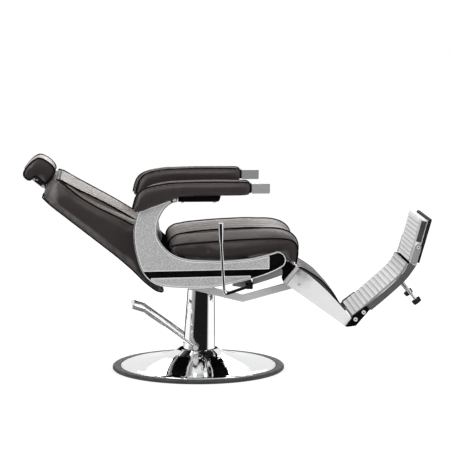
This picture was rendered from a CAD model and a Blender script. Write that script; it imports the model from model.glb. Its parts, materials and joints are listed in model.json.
"""A hydraulic reclining chair: padded seat, backrest, headrest, armrests, calf pad and footrest.

Metres. The sitter faces +X, the sitter's left is +Y and Z is up; the column stands on the origin.
The metalwork comes from the frame and only gets finishes; the upholstery is modelled here.
"""
import json
import math

import bmesh
import bpy
import numpy as np
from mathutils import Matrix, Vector
from mathutils.bvhtree import BVHTree


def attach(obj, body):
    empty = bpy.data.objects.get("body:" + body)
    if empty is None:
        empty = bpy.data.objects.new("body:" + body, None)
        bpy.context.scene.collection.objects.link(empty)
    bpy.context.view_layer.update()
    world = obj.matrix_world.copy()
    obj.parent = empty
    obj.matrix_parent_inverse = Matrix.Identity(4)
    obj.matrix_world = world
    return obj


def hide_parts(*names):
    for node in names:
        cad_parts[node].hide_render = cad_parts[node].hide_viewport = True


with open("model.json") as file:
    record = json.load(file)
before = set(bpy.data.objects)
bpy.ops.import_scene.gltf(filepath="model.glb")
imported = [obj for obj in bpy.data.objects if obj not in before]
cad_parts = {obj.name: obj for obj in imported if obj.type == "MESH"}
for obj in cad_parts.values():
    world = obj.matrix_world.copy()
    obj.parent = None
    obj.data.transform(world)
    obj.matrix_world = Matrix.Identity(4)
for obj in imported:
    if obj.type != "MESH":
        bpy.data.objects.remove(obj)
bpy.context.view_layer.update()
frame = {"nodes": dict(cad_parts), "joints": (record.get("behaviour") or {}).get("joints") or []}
NODES = frame["nodes"]

# ---------------------------------------------------------------- driving dimensions
SIDES = ((-1, "right"), (1, "left"))   # sign of y, the sitter's side
SEAT_PITCH = 0.054                     # width of one lengthwise channel
BACK_PITCH = 0.057
CALF_PITCH = 0.055

# The backrest and the legrest are drawn in tilted frames: a runs along the part, away from the
# head, and b stands square to it on the sitter's side.
BACK_ORIGIN = (-0.601, 0.702)          # x, z
BACK_ANGLE = math.radians(-38.3)
LEG_PIVOT = Vector(next(j for j in frame["joints"] if j["name"] == "legrest_swing")["pos_m"])
LEG_ANGLE = math.radians(-39.1)


def upright(points):
    """Millimetre (x, z) points in metres."""
    return [(x / 1000.0, z / 1000.0) for x, z in points]


def tilted(points, origin, angle):
    """Millimetre (a, b) points of a tilted frame as (x, z) in metres."""
    cos, sin = math.cos(angle), math.sin(angle)
    return [(origin[0] + a * cos - b * sin, origin[1] + a * sin + b * cos)
            for a, b in upright(points)]


def on_back(points):
    return tilted(points, BACK_ORIGIN, BACK_ANGLE)


def on_leg(points):
    return tilted(points, (LEG_PIVOT.x, LEG_PIVOT.z), LEG_ANGLE)


# ---------------------------------------------------------------- shader graph
class Graph:
    """Short forms for wiring the nodes of a material or a world."""

    def __init__(self, owner):
        owner.use_nodes = True
        self.owner = owner
        self.tree = owner.node_tree
        self.bsdf = self.tree.nodes.get("Principled BSDF")

    def put(self, value, socket):
        """Feeds a number, a colour or another socket into an input."""
        if isinstance(value, bpy.types.NodeSocket):
            self.tree.links.new(value, socket)
        elif socket.type == "RGBA":
            socket.default_value = (*value, 1)
        else:
            socket.default_value = value

    def node(self, kind, inputs=None, **settings):
        node = self.tree.nodes.new(kind)
        for key, value in settings.items():
            setattr(node, key, value)
        for key, value in (inputs or {}).items():
            self.put(value, node.inputs[key])
        return node

    def surface(self, inputs):
        for key, value in inputs.items():
            self.put(value, self.bsdf.inputs[key])

    def color(self):
        """The socket that now drives the base colour."""
        return self.bsdf.inputs["Base Color"].links[0].from_socket

    def overlay(self, mask, color):
        self.surface({"Base Color": self.mix(mask, self.color(), color)})

    def math(self, operation, *values):
        inputs = dict(enumerate(values))
        return self.node("ShaderNodeMath", inputs, operation=operation).outputs[0]

    def add(self, first, second):
        return self.math("ADD", first, second)

    def sub(self, first, second):
        return self.math("SUBTRACT", first, second)

    def mul(self, first, second):
        return self.math("MULTIPLY", first, second)

    def mix(self, mask, first, second):
        inputs = {0: mask, 6: first, 7: second}
        return self.node("ShaderNodeMix", inputs, data_type="RGBA").outputs[2]

    def remap(self, value, over, to=(0, 1)):
        inputs = {0: value, 1: over[0], 2: over[1], 3: to[0], 4: to[1]}
        return self.node("ShaderNodeMapRange", inputs).outputs[0]

    def ramp(self, value, stops):
        """Colour ramp from (position, colour) stops."""
        node = self.node("ShaderNodeValToRGB", {"Fac": value})
        elements = node.color_ramp.elements
        for element, (position, color) in ((elements[0], stops[0]), (elements[1], stops[-1])):
            element.position = position
            element.color = (*color, 1)
        for position, color in stops[1:-1]:
            elements.new(position).color = (*color, 1)
        return node.outputs["Color"]

    def coords(self, scale=(1, 1, 1)):
        place = self.node("ShaderNodeTexCoord").outputs["Object"]
        return self.node("ShaderNodeMapping", {"Vector": place, "Scale": scale}).outputs["Vector"]

    def split(self, vector):
        return self.node("ShaderNodeSeparateXYZ", {0: vector}).outputs

    def noise(self, vector, scale, detail=4, rough=0.55):
        inputs = {"Vector": vector, "Scale": scale, "Detail": detail, "Roughness": rough}
        return self.node("ShaderNodeTexNoise", inputs).outputs["Fac"]

    def cells(self, vector, scale, feature, **more):
        inputs = {"Vector": vector, "Scale": scale, **more}
        return self.node("ShaderNodeTexVoronoi", inputs, feature=feature).outputs["Distance"]

    def bump(self, height, distance, strength, under=None):
        """Bumps the surface, on top of the bump `under` if given."""
        inputs = {"Height": height, "Distance": distance, "Strength": strength}
        if under is not None:
            inputs["Normal"] = under
        normal = self.node("ShaderNodeBump", inputs).outputs["Normal"]
        self.surface({"Normal": normal})
        return normal


def new_graph(name):
    return Graph(bpy.data.materials.new(name))


def scaled(color, factor):
    return tuple(c * factor for c in color)


# ---------------------------------------------------------------- base materials
def leather(name, dark, light, rough=0.40, grain=520.0, coat=0.05, spec=0.42, creases=1.0):
    """Two-tone hide with fine cell creases; grain is the cell density."""
    g = new_graph(name)
    v = g.coords()
    mottle = g.noise(v, scale=70)
    cells = g.cells(v, scale=grain, feature="DISTANCE_TO_EDGE")
    fine = g.noise(v, scale=grain * 1.7, detail=2)
    color = g.mix(g.noise(v, scale=9, detail=3), dark, light)
    color = g.mix(g.remap(mottle, over=(0.35, 0.7), to=(0, 0.30)), color, scaled(dark, 0.76))
    crease = g.remap(cells, over=(0.0, 0.08), to=(1.0, 0.0))
    color = g.mix(g.mul(crease, 0.35 * creases), color, scaled(dark, 0.45))
    roughness = g.remap(mottle, over=(0.3, 0.75), to=(rough - 0.05, rough + 0.09))
    g.surface({
        "Base Color": color,
        "Roughness": g.add(roughness, g.mul(crease, 0.12)),
        "Coat Weight": coat,
        "Coat Roughness": 0.3,
        "Specular IOR Level": spec,
    })
    # pores: whole weight on the cells, a third on the fine noise
    height = g.add(g.mul(g.remap(cells, over=(0.0, 0.16)), 1.0), g.mul(fine, 0.35))
    pores = g.bump(height, distance=0.00016, strength=0.5 * creases)
    waves = g.noise(v, scale=16, detail=3)
    g.bump(waves, distance=0.0018, strength=0.20 * creases, under=pores)
    return g.owner


def chrome(name, rough=0.025, tint=(0.88, 0.885, 0.89)):
    """Plated metal with faint smears and lengthwise scratches."""
    g = new_graph(name)
    v = g.coords()
    smear = g.noise(v, scale=22, detail=5, rough=0.6)
    scratch = g.noise(g.coords(scale=(60, 900, 900)), scale=1.0, detail=2)
    roughness = g.remap(smear, over=(0.4, 0.8), to=(rough, rough + 0.02))
    dull = g.remap(smear, over=(0.35, 0.75), to=(0, 0.5))
    g.surface({
        "Metallic": 1,
        "Base Color": g.mix(dull, tint, scaled(tint, 0.93)),
        "Roughness": g.add(roughness, g.mul(scratch, 0.008)),
    })
    g.bump(g.noise(v, scale=14, detail=1), distance=0.00004, strength=0.25)
    return g.owner


def brushed(name, base, rough=0.26, along="x", metal=1.0, relief=0.3):
    """Metal with brush strokes along one axis; relief is the strength of the strokes."""
    g = new_graph(name)
    v = g.coords()
    stretch = tuple(8 if axis == along else 900 for axis in "xyz")
    stroke = g.noise(g.coords(scale=stretch), scale=1.0, detail=3)
    roughness = g.remap(stroke, over=(0.3, 0.7), to=(rough - 0.05, rough + 0.08))
    g.surface({
        "Metallic": metal,
        "Base Color": g.mix(g.remap(stroke, over=(0.3, 0.7)), scaled(base, 0.9), base),
        "Roughness": g.add(roughness, g.mul(g.noise(v, scale=18), 0.05)),
    })
    g.bump(stroke, distance=0.00008, strength=relief)
    return g.owner


def hammered(name):
    """Dimpled silver with bright rims along the edges."""
    g = new_graph(name)
    v = g.coords()
    dimples = g.cells(v, scale=330, feature="SMOOTH_F1", Smoothness=0.7)
    fine = g.noise(v, scale=800, detail=3)
    tone = g.add(g.mul(dimples, 0.9), g.mul(fine, 0.4))
    greys = [(0.25, (0.28, 0.28, 0.285)), (0.5, (0.50, 0.50, 0.505)), (0.85, (0.76, 0.76, 0.765))]
    g.surface({
        "Metallic": 0.30,
        "Base Color": g.ramp(tone, greys),
        "Roughness": g.remap(fine, over=(0.3, 0.7), to=(0.34, 0.48)),
    })
    # where the rounded normal leaves the true one, an edge is near
    rounded = g.node("ShaderNodeBevel", {"Radius": 0.0075}, samples=8).outputs[0]
    true_normal = g.node("ShaderNodeNewGeometry").outputs["True Normal"]
    inputs = {0: rounded, 1: true_normal}
    match = g.node("ShaderNodeVectorMath", inputs, operation="DOT_PRODUCT").outputs["Value"]
    g.overlay(g.remap(match, over=(0.999, 0.965)), (0.99, 0.99, 0.99))
    dents = g.bump(dimples, distance=0.0006, strength=0.7)
    g.bump(fine, distance=0.0001, strength=0.5, under=dents)
    return g.owner


def paint(name, color, rough, coat, peel=0.00006, spec=0.5):
    """Coated paint; peel is the depth of its orange-peel texture."""
    g = new_graph(name)
    v = g.coords()
    cloud = g.noise(v, scale=30)
    light = tuple(c * 1.15 + 0.002 for c in color)
    g.surface({
        "Specular IOR Level": spec,
        "Base Color": g.mix(g.remap(cloud, over=(0.35, 0.7)), scaled(color, 0.85), light),
        "Roughness": g.remap(cloud, over=(0.3, 0.8), to=(rough, rough + 0.08)),
        "Coat Weight": coat,
        "Coat Roughness": 0.08,
    })
    g.bump(g.noise(v, scale=420, detail=2), distance=peel, strength=0.5)
    return g.owner


def rubber(name, color, rough=0.62, spec=0.5):
    g = new_graph(name)
    v = g.coords()
    cloud = g.remap(g.noise(v, scale=25, detail=5), over=(0.35, 0.7))
    fine = g.noise(v, scale=900, detail=3)
    g.surface({
        "Specular IOR Level": spec,
        "Base Color": g.mix(cloud, scaled(color, 0.8), scaled(color, 1.35)),
        "Roughness": g.remap(fine, over=(0.3, 0.7), to=(rough - 0.06, rough + 0.1)),
    })
    g.bump(fine, distance=0.00012, strength=0.6)
    return g.owner


# ---------------------------------------------------------------- additions to materials
def seam_lines(material, pitch, dark=0.30, width=0.07):
    """Darkens the seams between lengthwise channels; width is a share of the pitch."""
    g = Graph(material)
    _, y, _ = g.split(g.coords())
    across = g.math("FRACT", g.add(g.math("DIVIDE", y, pitch), 0.5))
    off_middle = g.math("ABSOLUTE", g.sub(across, 0.5))
    inputs = {"Color": g.color(), "Value": dark}
    seam = g.node("ShaderNodeHueSaturation", inputs).outputs[0]
    g.overlay(g.remap(off_middle, over=(0.5 - width, 0.5 - width * 0.3)), seam)
    return material


def soft_light(material, rear, up):
    """Brightens flanks that turn toward the rear by `rear`, and faces that look up by `up`."""
    g = Graph(material)
    nx, ny, nz = g.split(g.node("ShaderNodeNewGeometry").outputs["Normal"])
    bell = g.mul(g.remap(nx, over=(-0.12, -0.27)), g.remap(nx, over=(-0.44, -0.31), to=(0.12, 1)))
    flank = g.remap(g.math("ABSOLUTE", ny), over=(0.3, 0.7))
    gain = g.add(1.0, g.mul(g.mul(bell, flank), rear - 1))
    gain = g.add(gain, g.mul(g.remap(nz, over=(0.10, 0.45)), up - 1))
    paler = g.remap(gain, over=(1.0, 3.0), to=(1.0, 0.35))
    inputs = {"Value": gain, "Color": g.color(), "Saturation": paler}
    g.surface({"Base Color": g.node("ShaderNodeHueSaturation", inputs).outputs[0]})
    return material


def leg_shade(material):
    """A dark reflection and a thin joint line across the legrest's side plates."""
    # origin and axes of the shade: along runs down the legrest, above stands square to it
    origin_x, origin_z, cos, sin = 0.2941, 0.4744, 0.776, 0.6307
    g = Graph(material)
    px, _, pz = g.split(g.coords())
    x, z = g.sub(px, origin_x), g.sub(pz, origin_z)
    along = g.sub(g.mul(x, cos), g.mul(z, sin))
    above = g.add(g.mul(x, sin), g.mul(z, cos))
    streak = g.noise(g.coords(scale=(45, 45, 45)), scale=1.0, detail=2)
    shade = g.mul(g.remap(along, over=(0.106, 0.185), to=(0.95, 0)),
                  g.remap(above, over=(-0.035, 0.012), to=(0.08, 1)))
    shade = g.mul(shade, g.remap(streak, over=(0.38, 0.6), to=(0.55, 1.0)))
    line = g.mul(g.remap(along, over=(0.1030, 0.1036)),
                 g.remap(along, over=(0.1062, 0.1075), to=(1, 0)))
    g.overlay(g.math("MAXIMUM", shade, g.mul(line, 0.85)), (0.16, 0.16, 0.16))
    return material


def rib_tone(material, color):
    """Shades each rib toward one side, by the rib_t attribute."""
    g = Graph(material)
    settings = {"attribute_name": "rib_t", "attribute_type": "GEOMETRY"}
    across = g.node("ShaderNodeAttribute", **settings).outputs["Fac"]
    falloff = 1.3
    g.overlay(g.math("POWER", across, falloff), color)
    return material


def front_satin(material):
    """Less metallic forward of the rear end, except high up."""
    g = Graph(material)
    x, _, z = g.split(g.coords())
    rear = g.remap(x, over=(-0.26, -0.20), to=(0.75, 0.15))
    high = g.remap(z, over=(0.46, 0.56), to=(0.15, 0.6))
    g.surface({"Metallic": g.math("MAXIMUM", rear, high)})
    return material


def ring_line(material, inner, outer):
    """A dark joint line inside a radius about the column, fading between the two radii."""
    g = Graph(material)
    x, y, _ = g.split(g.coords())
    radius = g.math("SQRT", g.add(g.math("POWER", x, 2.0), g.math("POWER", y, 2.0)))
    g.overlay(g.remap(radius, over=(inner, outer), to=(1, 0)), (0.004, 0.004, 0.004))
    return material


def pin_centres(mesh):
    """(x, z) centres of the separate pins whose ends reach the outermost y."""
    parent = list(range(len(mesh.vertices)))

    def root(i):
        while parent[i] != i:
            parent[i] = parent[parent[i]]
            i = parent[i]
        return i

    for edge in mesh.edges:
        parent[root(edge.vertices[0])] = root(edge.vertices[1])
    outermost = max(abs(v.co.y) for v in mesh.vertices)
    ends = {}
    for v in mesh.vertices:
        if abs(v.co.y) > outermost - 0.0006:
            ends.setdefault(root(v.index), []).append((v.co.x, v.co.z))
    centres = []
    for points in ends.values():
        xs, zs = zip(*points)
        x, z = (min(xs) + max(xs)) / 2, (min(zs) + max(zs)) / 2
        if all(math.hypot(x - cx, z - cz) > 0.004 for cx, cz in centres):
            centres.append((x, z))
    return centres


def axis_marks(material, obj, radius, ring):
    """A dark socket in the middle of each pin, and a dark surround from `ring` outward."""
    most_marks = 6
    g = Graph(material)
    x, _, z = g.split(g.coords())
    nearest = None
    for cx, cz in pin_centres(obj.data)[:most_marks]:
        dx, dz = g.sub(x, cx), g.sub(z, cz)
        distance = g.math("SQRT", g.add(g.mul(dx, dx), g.mul(dz, dz)))
        nearest = distance if nearest is None else g.math("MINIMUM", nearest, distance)
    mask = g.remap(nearest, over=(radius * 0.85, radius * 1.15), to=(1, 0))
    if ring:
        surround = g.remap(nearest, over=(ring * 0.9, ring), to=(0, 0.7))
        mask = g.math("MAXIMUM", mask, surround)
    g.overlay(mask, (0.05, 0.05, 0.05))
    return material


# ---------------------------------------------------------------- the finishes
# leather takes its dark and light tones first, metal and paint their base colour
MATS = {
    "leather": soft_light(leather("leather_brown", (0.034, 0.0265, 0.026),
                                  (0.052, 0.041, 0.040), spec=0.28), rear=2.6, up=2.1),
    "leather_seat_mid": seam_lines(
        leather("leather_seat_channels", (0.120, 0.103, 0.095), (0.160, 0.140, 0.130),
                rough=0.44, spec=0.3), SEAT_PITCH),
    "leather_back_mid": seam_lines(
        leather("leather_back_channels", (0.150, 0.131, 0.122), (0.215, 0.189, 0.176),
                rough=0.44, spec=0.3), BACK_PITCH, dark=0.22, width=0.09),
    "leather_calf": seam_lines(
        leather("leather_calf_channels", (0.062, 0.053, 0.049), (0.094, 0.082, 0.076),
                rough=0.42, spec=0.3), CALF_PITCH),
    "leather_mid": leather("leather_brown_bolster", (0.046, 0.037, 0.035),
                           (0.070, 0.057, 0.054), rough=0.42, spec=0.22),
    "leather_side": soft_light(
        leather("leather_brown_side", (0.033, 0.0256, 0.0256), (0.049, 0.0385, 0.0383),
                rough=0.42, spec=0.32), rear=3.2, up=2.0),
    "leather_bolster_back": leather("leather_brown_back_bolster", (0.085, 0.071, 0.066),
                                    (0.120, 0.101, 0.095), rough=0.44, spec=0.3),
    "leather_arm_top": leather("leather_brown_arm_top", (0.060, 0.049, 0.046),
                               (0.088, 0.073, 0.069), rough=0.55, coat=0.0, spec=0.06),
    "leather_head_top": leather("leather_head_top", (0.30, 0.27, 0.25),
                                (0.38, 0.345, 0.325), rough=0.44, spec=0.3),
    "piping": leather("leather_piping", (0.003, 0.0025, 0.0025), (0.006, 0.0045, 0.0045),
                      rough=0.5, grain=800, coat=0.0, spec=0.08, creases=0.3),
    "chrome": chrome("chrome_plate"),
    "groove_soft": brushed("rib_groove_soft", (0.44, 0.44, 0.445),
                           rough=0.5, along="y", metal=0.1, relief=0.1),
    "groove": brushed("rib_groove", (0.30, 0.30, 0.305),
                      rough=0.5, along="y", metal=0.1, relief=0.1),
    "flange": brushed("cast_flange", (0.22, 0.22, 0.225), rough=0.40, metal=0.2, relief=0.1),
    "frame": front_satin(chrome("cast_frame_chrome")),
    "arm_chrome": brushed("hinge_arm_satin", (0.74, 0.74, 0.745),
                          rough=0.24, along="z", metal=0.65, relief=0.15),
    "cap": brushed("armrest_cap_cast", (0.42, 0.42, 0.43), rough=0.40, metal=0.3),
    "edge": brushed("edge_polished", (0.985, 0.985, 0.985), rough=0.30, metal=0.0, relief=0.05),
    "chrome_soft": chrome("chrome_plate_soft", rough=0.10, tint=(0.86, 0.865, 0.87)),
    "alu_polish": brushed("aluminium_polished", (0.90, 0.90, 0.905),
                          rough=0.22, metal=0.35, relief=0.12),
    "alu_plate": leg_shade(brushed("plate_brushed", (0.95, 0.95, 0.955),
                                   rough=0.30, metal=0.12, relief=0.2)),
    "steel": brushed("steel_machined", (0.62, 0.62, 0.64), rough=0.28, along="z"),
    "link": brushed("steel_flat_bar", (0.80, 0.80, 0.81), rough=0.34, metal=0.15),
    "hammered": hammered("silver_hammered"),
    "black": paint("paint_black_gloss", (0.0022, 0.0022, 0.0022),
                   rough=0.26, coat=0.06, spec=0.22),
    "bolt": brushed("steel_bright", (0.86, 0.86, 0.87),
                    rough=0.30, along="y", metal=0.25, relief=0.1),
    "grey": paint("paint_dark_grey", (0.088, 0.088, 0.090), rough=0.42, coat=0.05),
    "cast": paint("enamel_cast", (0.02, 0.02, 0.02), rough=0.4, coat=0.2, peel=0.0002),
    "rubber_dark": rubber("rubber_black", (0.014, 0.014, 0.014), rough=0.75, spec=0.12),
    "brass": brushed("bronze_washer", (0.72, 0.52, 0.25), rough=0.3),
    "gap": rubber("shadow_gap_black", (0.0025, 0.0025, 0.0025), rough=0.9, spec=0.0),
    "board": paint("plywood_stained_black", (0.012, 0.011, 0.0105),
                   rough=0.55, coat=0.0, peel=0.0001),
    "pedal": brushed("chrome_tube", (0.93, 0.93, 0.935), rough=0.12, metal=0.72, relief=0.05),
    "tread": rib_tone(brushed("aluminium_tread", (0.60, 0.60, 0.605),
                              rough=0.34, along="y", metal=0.35), (0.33, 0.33, 0.335)),
    "tread_flip": rib_tone(brushed("aluminium_flip_tread", (0.78, 0.78, 0.785),
                                   rough=0.34, along="y", metal=0.35), (0.60, 0.60, 0.605)),
    "ring": ring_line(rubber("rubber_base_ring", (0.043, 0.043, 0.045)),
                      inner=0.318, outer=0.323),
}
# finish, part, socket radius, radius where the dark surround is full
PIN_FINISHES = (
    ("foot_bolt", "footrest_bolts", 0.0028, None),
    ("flip_pin", "flip_pins", 0.0026, 0.0070),
    ("cross_pin", "legrest_crossbars", 0.0022, 0.0064),
)
for finish, part, socket_radius, ring_radius in PIN_FINISHES:
    if part in NODES:
        bright = brushed("steel_bright_" + finish, (0.86, 0.86, 0.87),
                         rough=0.30, along="y", metal=0.25, relief=0.1)
        MATS[finish] = axis_marks(bright, NODES[part], socket_radius, ring_radius)

# part: finish, width of the soft edge (0 for none)
PARTS = {
    "base_rubber_ring": ("ring", 0), "base_plate": ("cast", 0),
    "base_cover": ("chrome", 0), "pump_housing": ("cast", 0),
    "gland_nut": ("steel", 0), "piston_wiper": ("rubber_dark", 0),
    "column_cover": ("chrome", 0), "column_collar": ("rubber_dark", 0),
    "pedal_pivot_bolts": ("bolt", 0), "pedal_frame": ("pedal", 0),
    "lift_piston": ("chrome", 0), "thrust_washer": ("brass", 0),
    "swivel_hub": ("black", 0), "seat_chassis": ("black", 0.0015),
    "side_frame_right": ("frame", 0.0014), "side_frame_left": ("frame", 0.0014),
    "side_infills": ("black", 0), "upper_panels": ("hammered", 0.0042),
    "lower_panels": ("hammered", 0.0042), "armrest_board": ("board", 0),
    "armrest_bracket": ("black", 0.0010), "armrest_caps": ("cap", 0.0015),
    "armrest_screws": ("bolt", 0), "seat_board": ("board", 0),
    "legrest_shaft": ("steel", 0), "backrest_pivot_bolts": ("bolt", 0),
    "lever_block": ("black", 0.0010), "recline_lever": ("chrome", 0),
    "lever_grip": ("chrome", 0.0006), "backrest_board": ("board", 0),
    "backrest_hinge_plates": ("black", 0.0010), "backrest_lever_arm": ("black", 0.0010),
    "headrest_socket": ("black", 0), "headrest_bar": ("chrome_soft", 0.0008),
    "headrest_hinge_plate": ("chrome", 0.0008), "headrest_hinge_pin": ("bolt", 0),
    "headrest_board": ("board", 0), "legrest_arms": ("black", 0.0010),
    "legrest_plates": ("alu_plate", 0.0010), "legrest_band": ("edge", 0.0008),
    "legrest_crossbars": ("cross_pin", 0), "legrest_board": ("black", 0),
    "link_bar": ("link", 0.0015), "footrest_brackets": ("black", 0.0010),
    "footrest_frame": ("grey", 0.0012), "footrest_tread": ("tread", 0.0024),
    "footrest_bolts": ("foot_bolt", 0.0012), "footrest_end_caps": ("arm_chrome", 0.0026),
    "rubber_feet": ("rubber_dark", 0.0015), "flip_tread": ("tread_flip", 0.0013),
    "flip_core": ("edge", 0.0008), "flip_back": ("rubber_dark", 0.0012),
    "flip_pins": ("flip_pin", 0.0010),
}
RIMMED = ("upper_panels", "lower_panels", "armrest_caps", "footrest_end_caps")
EVEN_NORMALS = ("column_cover", "base_cover", "pedal_frame")


# ---------------------------------------------------------------- parts with several finishes
def paint_faces(obj, finish, test):
    """Adds a material slot and gives it the faces that pass the test."""
    slot = len(obj.data.materials)
    obj.data.materials.append(MATS[finish])
    for face in obj.data.polygons:
        if test(face):
            face.material_index = slot


def surface_of(obj):
    mesh = obj.data
    return BVHTree.FromPolygons([v.co for v in mesh.vertices],
                                [tuple(p.vertices) for p in mesh.polygons])


def rib_finish(obj, groove, up):
    """Finishes the strips between raised ribs, and stores rib_t on the ribs: how far across
    its rib each corner lies, 0 at the upper side of the row and 1 at the lower."""
    surface = surface_of(obj)
    reach, lift = 0.016, 0.0008

    def row(face):
        return face.normal.cross(Vector((0, 1, 0))).normalized()

    def in_groove(face):
        # from a groove, a ray along the row meets a rib both ways
        if face.normal.dot(up) < 0.6:
            return False
        start = face.center + face.normal * lift
        return all(surface.ray_cast(start, way, reach)[0] is not None
                   for way in (row(face), -row(face)))

    paint_faces(obj, groove, in_groove)
    mesh = obj.data
    attribute = mesh.attributes.new("rib_t", "FLOAT", "CORNER")
    values = [0.0] * len(mesh.loops)
    narrowest, widest = 0.006, 0.03
    for face in mesh.polygons:
        if face.material_index != 0 or face.normal.dot(up) < 0.6 or abs(face.normal.y) > 0.3:
            continue
        places = [mesh.vertices[v].co.dot(row(face)) for v in face.vertices]
        low, high = min(places), max(places)
        if high - low < narrowest or high - low > widest:
            continue
        for loop, place in zip(face.loop_indices, places):
            values[loop] = (high - place) / (high - low)
    attribute.data.foreach_set("value", values)


def finish_footrest_tread(obj):
    rib_finish(obj, "groove", Vector((-0.66, 0, 0.75)))
    top_edge = Vector((0.43, 0, 0.90))
    paint_faces(obj, "gap", lambda p: p.center.z > 0.437 and p.normal.dot(top_edge) > 0.85)


def finish_flip_tread(obj):
    rib_finish(obj, "groove_soft", Vector((-0.96, 0, 0.27)))
    edge = Vector((0.2615, 0, 0.9652))
    paint_faces(obj, "gap", lambda p: p.center.z < 0.4505 and p.normal.dot(edge) < -0.85)


def finish_flip_core(obj):
    paint_faces(obj, "grey", lambda p: abs(p.center.y) < 0.1395 and abs(p.normal.y) > 0.5)


def finish_footrest_frame(obj):
    """Bright slanting bars on both sides, and a dark gap behind the tread's upper edge."""
    start, end = Vector((0.824, -0.110, 0.3355)), Vector((0.861, -0.110, 0.288))
    bar = end - start

    def on_bar(face):
        center = Vector((face.center.x, -abs(face.center.y), face.center.z))
        share = max(0, min(1, (center - start).dot(bar) / bar.length_squared))
        return (start + bar * share - center).length < 0.0085

    def in_gap(face):
        x, y, z = face.center
        return face.material_index == 0 and abs(y) < 0.1668 and z > 0.42 and x > 0.819

    paint_faces(obj, "pedal", on_bar)
    paint_faces(obj, "gap", in_gap)


def finish_side_frame(obj, inward):
    """Black on the face toward the chair's middle, and flanges in the plane |y| = 0.276."""
    paint_faces(obj, "black", lambda p: p.normal.y * inward > 0.5)
    paint_faces(obj, "flange", lambda p: p.material_index == 0
                and abs(abs(p.center.y) - 0.276) < 0.0008)


def finish_legrest_plates(obj):
    paint_faces(obj, "alu_polish", lambda p: abs(p.center.y) > 0.1805)


def finish_recline_lever(obj):
    paint_faces(obj, "black", lambda p: p.center.x > 0.096 and p.center.z < 0.42)


EXTRA_FINISHES = {
    "footrest_tread": finish_footrest_tread,
    "flip_tread": finish_flip_tread,
    "flip_core": finish_flip_core,
    "footrest_frame": finish_footrest_frame,
    "side_frame_right": lambda obj: finish_side_frame(obj, inward=1),
    "side_frame_left": lambda obj: finish_side_frame(obj, inward=-1),
    "legrest_plates": finish_legrest_plates,
    "recline_lever": finish_recline_lever,
}


def add_modifier(obj, name, kind, **settings):
    modifier = obj.modifiers.new(name, kind)
    for key, value in settings.items():
        setattr(modifier, key, value)
    return modifier


def smooth_faces(obj):
    for face in obj.data.polygons:
        face.use_smooth = True


def finish_part(name, finish, edge):
    obj = NODES[name]
    obj.data.materials.clear()
    obj.data.materials.append(MATS[finish])
    smooth_faces(obj)
    obj.data.set_sharp_from_angle(angle=math.radians(32))
    if name in EXTRA_FINISHES:
        EXTRA_FINISHES[name](obj)
    if name in RIMMED:
        obj.data.materials.append(MATS["edge"])
    if name in EVEN_NORMALS:
        add_modifier(obj, "even_normals", "WEIGHTED_NORMAL", keep_sharp=True, weight=80)
    if edge:
        bevel = add_modifier(obj, "soft_edge", "BEVEL", width=edge, segments=2,
                             limit_method="ANGLE", angle_limit=math.radians(40),
                             harden_normals=True, miter_outer="MITER_ARC")
        if name in RIMMED:
            bevel.material = 1


for part, (finish, edge) in PARTS.items():
    if part in NODES:
        finish_part(part, finish, edge)


# ---------------------------------------------------------------- paths
def arc_length(path):
    steps = np.linalg.norm(np.diff(np.array(path), axis=0), axis=1)
    return np.concatenate([[0], np.cumsum(steps)])


def even(points, count):
    """Points spaced evenly along a polyline."""
    path = np.array(points, float)
    length = arc_length(path)
    stations = np.linspace(0, length[-1], count)
    return np.stack([np.interp(stations, length, column) for column in path.T], 1)


def spline(points, count):
    """Smooth open curve through the points, sampled evenly by length."""
    knots = [np.array(point, float) for point in points]
    path = []
    for i in range(len(knots) - 1):
        a, b = knots[max(i - 1, 0)], knots[i]
        c, d = knots[i + 1], knots[min(i + 2, len(knots) - 1)]
        for t in np.linspace(0, 1, 24, endpoint=False):
            path.append(0.5 * ((2 * b) + (c - a) * t + (2 * a - 5 * b + 4 * c - d) * t * t
                               + (3 * b - a - 3 * c + d) * t ** 3))
    path.append(knots[-1])
    return even(path, count)


def path_normals(path):
    """Unit normals of an (x, z) path; they point up where it runs toward +X."""
    along = np.gradient(path, axis=0)
    along /= np.maximum(np.linalg.norm(along, axis=1, keepdims=True), 1e-9)
    return np.stack([-along[:, 1], along[:, 0]], 1)


def edge_line(path, half, side, out=0.0, up=0.0):
    """3D line along an (x, z) path, half + out away from the middle plane."""
    halves = np.broadcast_to(half, len(path))
    return [(x, side * (h + out), z + up) for (x, z), h in zip(path, halves)]


# ---------------------------------------------------------------- mesh helpers
def mesh_object(name, verts, faces, material, smooth=True):
    mesh = bpy.data.meshes.new(name)
    mesh.from_pydata([tuple(v) for v in verts], [], faces)
    mesh.validate()
    mesh.update()
    obj = bpy.data.objects.new(name, mesh)
    bpy.context.scene.collection.objects.link(obj)
    mesh.materials.append(material)
    if smooth:
        smooth_faces(obj)
    return obj


def hand_over(obj, body, slot, *replaced):
    """Tells the frame which body the object rides, its slot and the part it replaces."""
    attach(obj, body)
    if replaced:
        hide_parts(*replaced)


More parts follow.
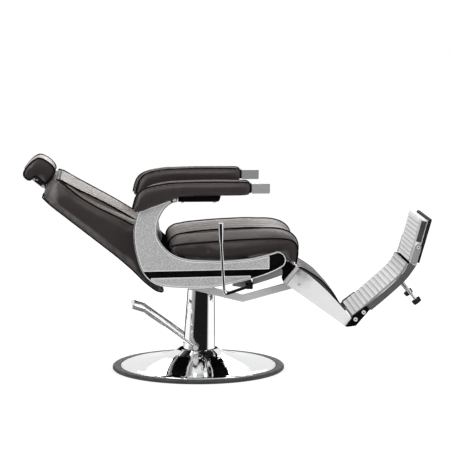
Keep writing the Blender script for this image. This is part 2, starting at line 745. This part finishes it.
def tube(name, path, radius, body, slot="leather_seat", finish="piping", segments=10,
         closed=False):
    """Round cord along a 3D path, with round ends unless closed."""
    path = np.array(path, float)
    if closed:
        along = np.roll(path, -1, 0) - np.roll(path, 1, 0)
    else:
        along = np.gradient(path, axis=0)
    along /= np.maximum(np.linalg.norm(along, axis=1, keepdims=True), 1e-9)
    up = np.array([0.0, 1.0, 0.0]) if abs(along[0][1]) < 0.9 else np.array([1.0, 0, 0])
    normal = np.cross(along[0], up)
    normal /= np.linalg.norm(normal)
    normals = [normal]
    for direction in along[1:]:
        normal = normal - direction * np.dot(normal, direction)
        normal = normal / np.linalg.norm(normal)
        normals.append(normal)
    verts = []
    rings = []

    def add_ring(center, i, ring_radius):
        sideways = np.cross(along[i], normals[i])
        rings.append(list(range(len(verts), len(verts) + segments)))
        for k in range(segments):
            angle = 2 * math.pi * k / segments
            spoke = math.cos(angle) * normals[i] + math.sin(angle) * sideways
            verts.append(center + spoke * ring_radius)

    # round end: reach beyond the path's end and size of each ring, as shares of the radius
    cap = ((1.0, 0.12), (0.75, 0.66), (0.35, 0.93))
    if not closed:
        for reach, size in cap:
            add_ring(path[0] - along[0] * radius * reach, 0, radius * size)
    for i, point in enumerate(path):
        add_ring(point, i, radius)
    if not closed:
        for reach, size in reversed(cap):
            add_ring(path[-1] + along[-1] * radius * reach, -1, radius * size)
    faces = []
    for i in range(len(rings) if closed else len(rings) - 1):
        near, far = rings[i], rings[(i + 1) % len(rings)]
        for k in range(segments):
            after = (k + 1) % segments
            faces.append((near[k], near[after], far[after], far[k]))
    if not closed:
        faces.append(tuple(rings[0][::-1]))
        faces.append(tuple(rings[-1]))
    hand_over(mesh_object(name, verts, faces, MATS[finish]), body, slot)


def loft(name, top, bottom, half, finish, crown=None, wall=None, across=24, down=6, y_mid=0.0):
    """Closed padded form between matching (x, z) paths; half is the half width per station.

    crown(s, v) lifts the top along its normal, s 0..1 along the path and v -1..1 across;
    wall(s, t) pushes the sides out, t 0 at the top and 1 at the bottom.
    """
    halves = np.broadcast_to(half, len(top))
    normals = path_normals(top)
    verts = []
    loops = []
    for i, s in enumerate(np.linspace(0, 1, len(top))):

        def flank(side, t):
            x, z = top[i] * (1 - t) + bottom[i] * t
            push = wall(s, t) if wall else 0
            return (x, y_mid + side * halves[i] + side * push, z)

        ring = []
        for k in range(across + 1):
            v = -1 + 2 * k / across
            x, z = top[i] + normals[i] * (crown(s, v) if crown else 0)
            ring.append((x, y_mid + v * halves[i], z))
        ring += [flank(1, k / down) for k in range(1, down)]
        for k in range(across + 1):
            v = 1 - 2 * k / across
            ring.append((bottom[i][0], y_mid + v * halves[i], bottom[i][1]))
        ring += [flank(-1, 1 - k / down) for k in range(1, down)]
        loops.append(list(range(len(verts), len(verts) + len(ring))))
        verts += ring
    faces = []
    size = len(loops[0])
    for near, far in zip(loops[:-1], loops[1:]):
        for k in range(size):
            after = (k + 1) % size
            faces.append((near[k], far[k], far[after], near[after]))
    for loop, flipped in ((loops[0], False), (loops[-1], True)):
        close_end(verts, faces, loop, across, down, flipped)
    obj = mesh_object(name, verts, faces, MATS[finish])
    bm = bmesh.new()
    bm.from_mesh(obj.data)
    bmesh.ops.remove_doubles(bm, verts=bm.verts, dist=1e-5)
    bmesh.ops.dissolve_degenerate(bm, edges=bm.edges, dist=1e-6)
    bmesh.ops.recalc_face_normals(bm, faces=bm.faces)
    bm.to_mesh(obj.data)
    bm.free()
    smooth_faces(obj)
    return obj


def close_end(verts, faces, loop, across, down, flipped):
    """Fills an end ring of a loft with rows of faces between its top and bottom."""
    top = loop[:across + 1]
    plus_y = loop[across + 1:across + down]
    bottom = loop[across + down:2 * across + down + 1][::-1]
    minus_y = loop[2 * across + down + 1:][::-1]
    places = np.array(verts)
    rows = [top]
    for k in range(1, down):
        t = k / down
        row = [minus_y[k - 1]]
        for j in range(1, across):
            row.append(len(verts))
            verts.append(tuple(places[top[j]] * (1 - t) + places[bottom[j]] * t))
        rows.append(row + [plus_y[k - 1]])
    rows.append(bottom)
    for upper, lower in zip(rows[:-1], rows[1:]):
        for j in range(across):
            face = (upper[j], upper[j + 1], lower[j + 1], lower[j])
            faces.append(face[::-1] if flipped else face)


def apply_modifiers(obj):
    depsgraph = bpy.context.evaluated_depsgraph_get()
    depsgraph.update()
    evaluated = obj.evaluated_get(depsgraph)
    mesh = bpy.data.meshes.new_from_object(evaluated, preserve_all_data_layers=True,
                                           depsgraph=depsgraph)
    old = obj.data
    obj.modifiers.clear()
    obj.data = mesh
    if old.users == 0:
        bpy.data.meshes.remove(old)


def vertex_places(mesh):
    places = np.zeros(len(mesh.vertices) * 3)
    mesh.vertices.foreach_get("co", places)
    return places.reshape(-1, 3)


def inflate(obj, voxel, pressure, cap, frames):
    """Remeshes the form and swells it as cloth; no point moves farther than cap."""
    add_modifier(obj, "remesh", "REMESH", mode="VOXEL", voxel_size=voxel, use_smooth_shade=True)
    apply_modifiers(obj)
    start = vertex_places(obj.data)
    cloth = obj.modifiers.new("cloth", "CLOTH")
    settings = cloth.settings
    settings.use_pressure = True
    settings.uniform_pressure_force = pressure
    settings.effector_weights.gravity = 0
    settings.quality = 5
    settings.mass = 0.3
    settings.tension_stiffness = 12
    settings.compression_stiffness = 12
    settings.bending_stiffness = 1.2
    cloth.collision_settings.use_collision = False
    cloth.point_cache.frame_start = 1
    cloth.point_cache.frame_end = frames + 1
    scene = bpy.context.scene
    for number in range(1, frames + 1):
        scene.frame_set(number)
    evaluated = obj.evaluated_get(bpy.context.evaluated_depsgraph_get())
    swollen = vertex_places(evaluated.to_mesh())
    evaluated.to_mesh_clear()
    obj.modifiers.clear()
    scene.frame_set(1)
    move = swollen - start
    length = np.linalg.norm(move, axis=1, keepdims=True)
    length[length < 1e-9] = 1e-9
    move = move / length * (cap * np.tanh(length / cap))
    obj.data.vertices.foreach_set("co", (start + move).ravel())
    obj.data.update()
    smooth_faces(obj)


def relax(obj, iterations):
    """Evens out small dimples left by the cloth simulation."""
    add_modifier(obj, "relax", "SMOOTH", factor=0.5, iterations=iterations)
    apply_modifiers(obj)


def subdivide(obj):
    add_modifier(obj, "subdivide", "SUBSURF", levels=1, render_levels=1)
    apply_modifiers(obj)
    smooth_faces(obj)


def clear_of(surface, point, lift):
    """Moves a nearby point out until it lies `lift` proud of the surface."""
    point = Vector(point)
    place, normal, _, distance = surface.find_nearest(point)
    if place is None or distance > 0.014 or (point - place).dot(normal) >= lift:
        return point
    return place + normal * lift


# ---------------------------------------------------------------- padding shapes
def ends(s, head, tail):
    """Rises from 0 to 1 over the first share `head` and falls over the last share `tail`."""
    return min(1, s / head) * min(1, (1 - s) / tail)


def smoothstep(t):
    return t * t * (3 - 2 * t)


def shoulder(v, half, width, power):
    """0 at both sides, 1 from `width` metres inward."""
    t = min(1.0, (half - abs(v) * half) / width)
    return math.sin(t * math.pi / 2) ** power


def pleat(y, pitch, depth):
    """Rounded lengthwise channels: 0 on the crest, -depth in the seam."""
    off_crest = abs(2 * ((y / pitch) % 1.0) - 1)
    return -depth * (off_crest ** 3.0)


def bulging_side(inset, bulge, power=0.7):
    return lambda s, t: -inset + bulge * math.sin(math.pi * t) ** power


def quarter_round(share):
    """1 at share 0, easing to 0 at share 1 along a quarter circle."""
    return 1 - np.sqrt(1 - (1 - np.clip(share, 0, 1)) ** 2)


# ---------------------------------------------------------------- seat
# (x, z) in mm: rear edge, over the seat, down the front roll
SEAT_TOP = spline(upright([
    (-122, 500), (-124, 512), (-117, 523), (-100, 529), (-72, 533), (-44, 536), (35, 541.5),
    (115, 547), (194, 551), (274, 552.5), (325, 551), (354, 544), (370, 529), (376, 505),
    (375.5, 481), (371, 452)]), 64)
SEAT_BOTTOM = spline(upright([
    (-119, 497), (-90, 487), (-44, 478), (35, 469), (115, 467), (155, 470), (194, 480),
    (234, 490), (274, 497), (300, 505), (318, 493), (330, 476), (345, 465), (357, 456),
    (367, 449.5)]), 64)
PANEL_TOP = spline(upright([
    (-121, 508), (-121, 530), (-114, 546), (-98, 558), (-62, 568), (-33, 573), (49, 580.5),
    (131, 585), (212, 587), (274, 583), (315, 577), (344, 566), (362, 551), (373, 533),
    (378.5, 512), (378, 492)]), 96)
PANEL_BOTTOM = spline(upright([
    (-112, 508), (-108, 520), (-98, 530), (-80, 535), (-62, 538), (-33, 540), (49, 545),
    (131, 550), (212, 553), (274, 553), (315, 552), (340, 546), (352, 536), (362, 520),
    (366, 506), (368, 492)]), 96)
SEAT_SHARES = np.linspace(0, 1, 64)
# half width, drawn in at the rear and front corners
SEAT_HALVES = (0.2455 - 0.016 * quarter_round(SEAT_SHARES / 0.07)
               - 0.022 * quarter_round((1 - SEAT_SHARES) / 0.13))
SEAT_CROWN_HALF = 0.2475
PANEL_HALF = 0.162


def seat_cushion():
    """The cushion with its side bolsters; returns its surface before subdivision."""

    def crown(s, v):
        rise = smoothstep(ends(s, head=0.10, tail=0.30))
        return rise * 0.027 * shoulder(v, SEAT_CROWN_HALF, width=0.080, power=0.85)

    seat = loft("seat_cushion_leather", SEAT_TOP, SEAT_BOTTOM, SEAT_HALVES, "leather_side",
                crown=crown, wall=bulging_side(inset=0.006, bulge=0.0105), across=28, down=7)
    inflate(seat, voxel=0.006, pressure=4.0, cap=0.005, frames=12)
    relax(seat, iterations=7)
    surface = surface_of(seat)
    paint_faces(seat, "leather_mid", lambda p: p.normal.z > 0.55
                and abs(p.center.y) < 0.2445 and p.center.z > 0.52)
    subdivide(seat)
    hand_over(seat, "seat_unit", "leather_seat", "seat_cushion")
    return surface


def seat_panel(cushion):
    """The raised channelled panel along the middle."""

    def crown(s, v):
        rise = smoothstep(ends(s, head=0.16, tail=0.22))
        channels = pleat(v * PANEL_HALF, SEAT_PITCH, depth=0.0060)
        return rise * 0.0075 * (1 - v * v) - 0.001 + channels * ends(s, head=0.04, tail=0.04)

    panel = loft("seat_panel_pleated", PANEL_TOP, PANEL_BOTTOM, PANEL_HALF, "leather_seat_mid",
                 crown=crown, wall=bulging_side(inset=0, bulge=0.0015, power=1),
                 across=160, down=4)
    # keep the panel's skin just proud of the cushion
    for vert in panel.data.vertices:
        if abs(vert.co.y) < 0.1585 and (vert.normal.z > 0.6 or vert.normal.x > 0.6):
            place = clear_of(cushion, vert.co, lift=0.0008)
            if (place - vert.co).length < 0.008:
                vert.co = place
    hand_over(panel, "seat_unit", "leather_seat")


def seat_piping(cushion):
    inner_path = PANEL_TOP[2:-1]
    inner_path = inner_path - path_normals(inner_path) * 0.0005
    for side, tag in SIDES:
        outer = edge_line(SEAT_TOP[3:], SEAT_HALVES[3:], side, out=0.0010, up=0.001)
        tube("seat_piping_outer_" + tag, outer, 0.0034, "seat_unit")
        inner = [tuple(clear_of(cushion, point, lift=0.0012))
                 for point in edge_line(inner_path, PANEL_HALF, side, out=0.0005)]
        tube("seat_piping_inner_" + tag, inner, 0.0038, "seat_unit")


seat_surface = seat_cushion()
seat_panel(seat_surface)
seat_piping(seat_surface)

# ---------------------------------------------------------------- backrest
# (a, b) in mm in the backrest's frame, from the head end down to the tail
SHELL_FRONT = np.concatenate([
    even(on_back([(-22.5, 86), (-13, 95.5)]), 4)[:-1],
    spline(on_back([
        (-8, 96.5), (32, 95.5), (89, 95), (159, 102.5), (214, 113.5), (275, 126.5),
        (318, 134.5), (352, 153), (385, 174), (410, 181), (430, 177), (443, 167), (447.5, 150),
        (448.5, 100), (450, 50), (455, 18), (468, 8), (510, 4), (552, 9), (571, 9)]), 86)])
SHELL_REAR = np.concatenate([
    even(on_back([(-26, 30), (-23, 12)]), 4)[:-1],
    spline(on_back([
        (-18, 3.5), (32, 0.5), (89, 0.5), (159, 0.5), (214, 0.5), (275, 0.5), (318, 0.5),
        (340, 0.3), (372, -0.8), (395, -2), (412, -3), (425, -4), (438, -5.5), (450, -7),
        (463, -8.5), (476, -10.3), (492, -12), (520, -13), (552, -11.5), (573, -3)]), 86)])
BOLSTER_TOP = spline(on_back([
    (-20, 88), (-14, 95), (32, 95), (89, 94.5), (159, 102), (214, 113), (275, 126), (318, 134),
    (352, 152), (385, 172), (410, 179), (428, 175)]), 60)
BOLSTER_BOTTOM = spline(on_back([
    (-16, 70), (-10, 76), (32, 76), (89, 76), (159, 84), (214, 94), (275, 106), (318, 114),
    (352, 130), (380, 148), (400, 155), (415, 156)]), 60)
BACK_PANEL_TOP = spline(on_back([
    (-11, 86), (-9, 95), (-1, 101.5), (20, 104.5), (69, 112), (120, 122), (197, 136),
    (261, 145.5), (318, 153), (350, 162), (376, 173), (396, 182), (410, 183)]), 110)
BACK_PANEL_BOTTOM = spline(on_back([
    (-4, 76), (-2, 81), (5, 85), (20, 87), (69, 88), (120, 92), (197, 103), (261, 118),
    (318, 128), (350, 140), (372, 152), (388, 160), (402, 165)]), 110)
# half width of the panel in metres against the share of its length
BACK_PANEL_HALVES = np.interp(
    np.linspace(0, 1, 110),
    [0, 0.04, 0.08, 0.14, 0.22, 0.32, 0.45, 0.7, 1],
    [0.198, 0.206, 0.209, 0.207, 0.200, 0.188, 0.178, 0.171, 0.166])


def back_halves(path, rounding):
    """Half width along the backrest, drawn in over the length `rounding` at the head."""
    return 0.2325 - 0.028 * np.clip(1 - arc_length(path) / rounding, 0, 1) ** 2


SHELL_HALVES = back_halves(SHELL_FRONT, rounding=0.085)


def backrest_shell():

    def wall(s, t):
        return -0.0070 + 0.0105 * math.sin(math.pi * t) ** 0.6 * min(1, (1 - s) / 0.3)

    shell = loft("backrest_leather_shell", SHELL_FRONT, SHELL_REAR, SHELL_HALVES,
                 "leather_side", wall=wall, across=26, down=8)
    inflate(shell, voxel=0.006, pressure=3.0, cap=0.004, frames=10)
    subdivide(shell)
    hand_over(shell, "backrest", "leather_shell", "backrest_shell")


def backrest_bolster():

    def crown(s, v):
        rise = smoothstep(ends(s, head=0.16, tail=0.25))
        return rise * 0.0145 * shoulder(v, half=0.2345, width=0.062, power=0.75) - 0.001

    bolster = loft("backrest_bolster", BOLSTER_TOP, BOLSTER_BOTTOM,
                   back_halves(BOLSTER_TOP, rounding=0.080), "leather_bolster_back",
                   crown=crown, across=34, down=4)
    inflate(bolster, voxel=0.0055, pressure=3.0, cap=0.003, frames=10)
    subdivide(bolster)
    hand_over(bolster, "backrest", "leather_seat", "backrest_cushion")


def backrest_panel():

    def crown(s, v):
        rise = smoothstep(ends(s, head=0.10, tail=0.08))
        channels = pleat(v * 0.176, BACK_PITCH, depth=0.0060)
        return rise * 0.006 * (1 - v * v) - 0.001 + channels * ends(s, head=0.03, tail=0.03)

    panel = loft("backrest_panel_pleated", BACK_PANEL_TOP, BACK_PANEL_BOTTOM,
                 BACK_PANEL_HALVES, "leather_back_mid", crown=crown, across=160, down=4)
    hand_over(panel, "backrest", "leather_seat")


def backrest_piping():
    inner_path = BACK_PANEL_TOP - path_normals(BACK_PANEL_TOP) * 0.001
    for side, tag in SIDES:
        outer = edge_line(SHELL_FRONT[2:52], SHELL_HALVES[2:52], side, out=-0.0010, up=0.001)
        tube("backrest_piping_outer_" + tag, outer, 0.0034, "backrest")
        inner = edge_line(inner_path, BACK_PANEL_HALVES, side, out=0.0005)[2:-2]
        tube("backrest_piping_inner_" + tag, inner, 0.0036, "backrest")
        rear = edge_line(SHELL_REAR[2:], SHELL_HALVES[2:], side, out=-0.0020)
        tube("backrest_piping_rear_" + tag, rear, 0.0028, "backrest",
             slot="leather_shell", segments=8)
    # across the panel near its head end
    station = 3
    x, z = BACK_PANEL_TOP[station]
    half = float(BACK_PANEL_HALVES[station])
    head = [(x, y, z + 0.001) for y in np.linspace(-half, half, 60)]
    tube("backrest_piping_head", head, 0.0032, "backrest")
    # thick roll closing the shell's tail
    x, z = (SHELL_FRONT[-1] + SHELL_REAR[-1]) / 2
    tail = [(x - 0.001, y, z) for y in np.linspace(-0.226, 0.226, 50)]
    tube("backrest_piping_tail", tail, 0.0068, "backrest",
         slot="leather_shell", finish="leather", segments=12)


backrest_shell()
backrest_bolster()
backrest_panel()
backrest_piping()

# ---------------------------------------------------------------- headrest
# (a, b) in mm in the backrest's frame, from the end near the backrest up to the far end
HEAD_FRONT = spline(on_back([
    (-36, 42), (-34, 60), (-33, 84), (-35, 99), (-43, 108), (-60, 113.5), (-79, 115),
    (-101, 112.5), (-116, 107), (-124, 98), (-131, 77), (-133.5, 55)]), 56)
HEAD_REAR = spline(on_back([
    (-40, 41), (-52, 41), (-66, 41), (-76, 41), (-84, 40), (-89, 36), (-90, 28), (-92, 18),
    (-98, 12.5), (-112, 11), (-124, 15), (-133, 28)]), 56)
HEAD_HALF = 0.0865


def headrest_cushion():

    def crown(s, v):
        return 0.002 * (1 - v * v) * math.sin(math.pi * s)

    head = loft("headrest_cushion_leather", HEAD_FRONT, HEAD_REAR, HEAD_HALF, "leather_side",
                crown=crown, wall=bulging_side(inset=0.003, bulge=0.0065), across=22, down=8)
    inflate(head, voxel=0.005, pressure=4.0, cap=0.004, frames=12)
    toward_sitter = Vector((math.sin(-BACK_ANGLE), 0, math.cos(BACK_ANGLE)))
    paint_faces(head, "leather_head_top", lambda p: abs(p.normal.y) < 0.6
                and abs(p.center.y) < 0.0845 and p.normal.dot(toward_sitter) > -0.3)
    subdivide(head)
    hand_over(head, "headrest", "leather_seat", "headrest_cushion")


def headrest_piping():
    outline = even(np.concatenate([HEAD_FRONT, HEAD_REAR[::-1][1:-1], HEAD_FRONT[:1]]), 120)[:-1]
    for side, tag in SIDES:
        line = edge_line(outline, HEAD_HALF, side, out=0.0015)
        tube("headrest_piping_" + tag, line, 0.0031, "headrest", closed=True)


headrest_cushion()
headrest_piping()

# ---------------------------------------------------------------- armrest pads
# (x, z) in mm, from the rear end to the front end
ARM_TOP = spline(upright([
    (-266, 676), (-265, 690), (-259, 715), (-249, 737), (-229, 755), (-190, 768), (-127, 778.5),
    (-83, 780.5), (5, 782.5), (93, 782.5), (165, 781.5), (180, 779), (187, 770), (188, 752),
    (184, 735)]), 72)
ARM_BOTTOM = spline(upright([
    (-264, 671), (-256, 668), (-242, 669), (-222, 676.5), (-200, 685.5), (-170, 697),
    (-150, 703.5), (-128, 711.5), (-105, 720), (-80, 727), (-40, 729), (5, 729.8), (60, 730.5),
    (120, 731), (165, 731.5), (180, 733)]), 72)
ARM_Y = 0.28
ARM_HALF = 0.0365


def arm_taper(x, y):
    """How far the rear end is drawn forward, most toward the chair's middle."""
    rearward = min(1.0, max(0.0, (-0.16 - x) / 0.10))
    inward = min(1.0, max(0.0, (0.318 - abs(y)) / 0.078))
    if y > 0:
        inward = 0.55 + 0.45 * inward
    return 0.022 * smoothstep(rearward) * inward


def armrest_pad(side, tag):

    def crown(s, v):
        return 0.0035 * (1 - v * v) * math.sin(math.pi * s) ** 0.3 - 0.002

    def on_top(face):
        turned = abs(face.normal.y) < 0.75 and (face.normal.z > 0.3 or face.normal.x < -0.5)
        return turned and abs(abs(face.center.y) - ARM_Y) < ARM_HALF

    pad = loft("armrest_pad_leather_" + tag, ARM_TOP, ARM_BOTTOM, ARM_HALF, "leather",
               crown=crown, wall=bulging_side(inset=0.004, bulge=0.0085),
               across=16, down=8, y_mid=side * ARM_Y)
    inflate(pad, voxel=0.0045, pressure=3.5, cap=0.003, frames=10)
    for vert in pad.data.vertices:
        vert.co.x += arm_taper(vert.co.x, vert.co.y)
    paint_faces(pad, "leather_arm_top", on_top)
    subdivide(pad)
    hand_over(pad, "seat_unit", "leather_pad", "armrest_pad_" + tag)


def armrest_piping(side, tag):
    for way in (-1, 1):
        y = side * ARM_Y + way * 0.0375
        line = [(x + arm_taper(x, y), y, z) for x, z in even(ARM_TOP[1:-1], 90)]
        place = "inner" if way * side < 0 else "outer"
        tube(f"armrest_piping_{tag}_{place}", line, 0.0027, "seat_unit", slot="leather_pad")


for side, tag in SIDES:
    armrest_pad(side, tag)
    armrest_piping(side, tag)

# ---------------------------------------------------------------- calf pad
# (a, b) in mm in the legrest's frame, from the seat end down
CALF_TOP = spline(on_leg([
    (101, 10), (102, 22), (112, 30), (152, 37), (202, 40), (252, 33), (292, 23), (323, 12),
    (343, 3)]), 56)
CALF_BOTTOM = spline(on_leg([
    (103, 8), (112, 8), (130, 8.5), (165, 9), (205, 9), (245, 8), (285, 4), (320, 1),
    (345, -1)]), 56)
CALF_HALF = 0.1645


def calf_pad():

    def crown(s, v):
        rise = ends(s, head=0.1, tail=0.1)
        inward = min(1.0, (1 - abs(v)) / 0.06)
        side_drop = 1 - math.sqrt(max(0.0, 1 - (1 - inward) ** 2))
        channels = pleat(v * 0.165, CALF_PITCH, depth=0.0040)
        return 0.005 * (1 - v * v) * rise + channels * rise * 0.9 - 0.002 * side_drop

    calf = loft("calf_pad_leather", CALF_TOP, CALF_BOTTOM, CALF_HALF, "leather_calf",
                crown=crown, across=110, down=4)
    hand_over(calf, "legrest", "leather_seat", "calf_pad")


def calf_piping():
    path = CALF_TOP[1:]
    path = path - path_normals(path) * 0.001
    for side, tag in SIDES:
        tube("calf_piping_" + tag, edge_line(path, CALF_HALF, side), 0.003, "legrest")


calf_pad()
calf_piping()


# ---------------------------------------------------------------- stage
def floor():
    """Pale floor that glows to the camera and is left out of reflections."""
    g = new_graph("floor_pale")
    cloud = g.noise(g.coords(), scale=2.0)
    g.surface({
        "Roughness": 0.7,
        "Specular IOR Level": 0.1,
        "Base Color": g.mix(cloud, (0.86, 0.86, 0.86), (0.90, 0.90, 0.90)),
    })
    glow = g.node("ShaderNodeEmission", {"Color": (1, 1, 1), "Strength": 1.28})
    seen = g.node("ShaderNodeLightPath").outputs["Is Camera Ray"]
    inputs = {0: g.mul(seen, 0.62), 1: g.bsdf.outputs[0], 2: glow.outputs[0]}
    blend = g.node("ShaderNodeMixShader", inputs)
    g.put(blend.outputs[0], g.tree.nodes["Material Output"].inputs[0])
    half, z = 30.0, -0.0005
    corners = [(-half, -half, z), (half, -half, z), (half, half, z), (-half, half, z)]
    obj = mesh_object("floor", corners, [(0, 1, 2, 3)], g.owner)
    obj.visible_glossy = False


def flag():
    """Black card on the left of the column, seen only in what shines."""
    g = new_graph("flag_black")
    g.surface({
        "Base Color": (0.004, 0.004, 0.004),
        "Roughness": 0.9,
        "Specular IOR Level": 0.0,
    })
    # (x, z) outline
    outline = [(-0.105, 0.085), (0.105, 0.085), (0.150, 0.20), (0.120, 0.27),
               (0.150, 0.36), (-0.150, 0.36), (-0.120, 0.27), (-0.150, 0.20)]
    verts = [(x, 0.10, z) for x, z in outline]
    obj = mesh_object("flag", verts, [tuple(range(8))], g.owner, smooth=False)
    obj.visible_camera = False
    obj.visible_diffuse = False
    obj.visible_shadow = False
    obj.visible_transmission = False


# Brightness of the reflected studio around the chair, as (degrees, grey):
# 0 toward -Y, positive toward the chair's front
LOW_SWEEP = (
    (-180, 0.95), (-156, 0.92), (-152, 0.06), (-142, 0.06), (-136, 1.1), (-88, 1.1),
    (-80, 0.42), (-56, 0.34), (-50, 0.012), (54, 0.012), (60, 0.45), (68, 1.15),
    (134, 1.15), (142, 0.06), (152, 0.06), (156, 0.92), (180, 0.95))
HIGH_SWEEP = (
    (-180, 0.90), (-120, 0.95), (-85, 0.95), (-62, 0.30), (-48, 0.05), (48, 0.05),
    (62, 0.35), (85, 0.95), (120, 0.95), (180, 0.90))
# (height of the direction, grey)
OVERHEAD = ((0.0, 0.95), (0.62, 0.98), (0.74, 0.92), (1.0, 1.1))


def studio_world():
    """White to the camera, an even glow for soft light, dark and bright bands in reflections."""

    def grey(value):
        return (value, value, value)

    def sweep(stops):
        return g.ramp(azimuth, [(0.5 + degrees / 360.0, grey(v)) for degrees, v in stops])

    world = bpy.data.worlds.new("studio")
    bpy.context.scene.world = world
    g = Graph(world)
    x, y, height = g.split(g.node("ShaderNodeTexCoord").outputs["Generated"])
    angle = g.math("ARCTAN2", x, g.mul(y, -1.0))
    azimuth = g.remap(angle, over=(-math.pi, math.pi))
    low = sweep(LOW_SWEEP)
    high = sweep(HIGH_SWEEP)
    around = g.mix(g.remap(height, over=(-0.04, 0.10)), low, high)
    above = g.ramp(g.remap(height, over=(0.0, 1.0)), [(h, grey(v)) for h, v in OVERHEAD])
    mirrored = g.mix(g.remap(height, over=(0.46, 0.60)), around, above)
    rays = g.node("ShaderNodeLightPath").outputs
    color = g.mix(rays["Is Glossy Ray"], grey(0.62), mirrored)
    color = g.mix(rays["Is Camera Ray"], color, grey(1.0))
    background = g.tree.nodes["Background"]
    g.put(color, background.inputs[0])
    g.put(1.0, background.inputs[1])


def place_and_aim(name, data, location, target):
    obj = bpy.data.objects.new(name, data)
    bpy.context.scene.collection.objects.link(obj)
    obj.location = location
    view = Vector(target) - Vector(location)
    obj.rotation_euler = view.to_track_quat("-Z", "Y").to_euler()
    return obj


# name, location, target, width, height, power in watts
LIGHTS = (
    ("top_box", (0.1, 0.3, 3.4), (0.1, 0, 0.4), 2.6, 2.0, 60),
    ("near_left", (-2.8, -3.0, 2.2), (0, 0, 0.5), 1.5, 1.5, 34),
    ("near_right", (2.8, -2.6, 1.7), (0.2, 0, 0.5), 1.2, 1.5, 26),
    ("far_fill", (0.4, 3.4, 2.2), (0, 0, 0.5), 2.2, 1.4, 34),
)


def lights():
    for name, location, target, width, height, power in LIGHTS:
        light = bpy.data.lights.new(name, "AREA")
        light.energy = power
        light.shape = "RECTANGLE"
        light.size = width
        light.size_y = height
        place_and_aim(name, light, location, target)


def camera():
    lens = bpy.data.cameras.new("cam")
    lens.sensor_width = 36
    lens.lens = 164.8
    lens.clip_end = 100
    bpy.context.scene.camera = place_and_aim(
        "camera", lens, location=(-0.3919, -8.1634, 1.5821), target=(0.1074, 0, 0.5779))


bpy.context.scene.view_settings.view_transform = "Standard"
floor()
flag()
studio_world()
lights()
camera()
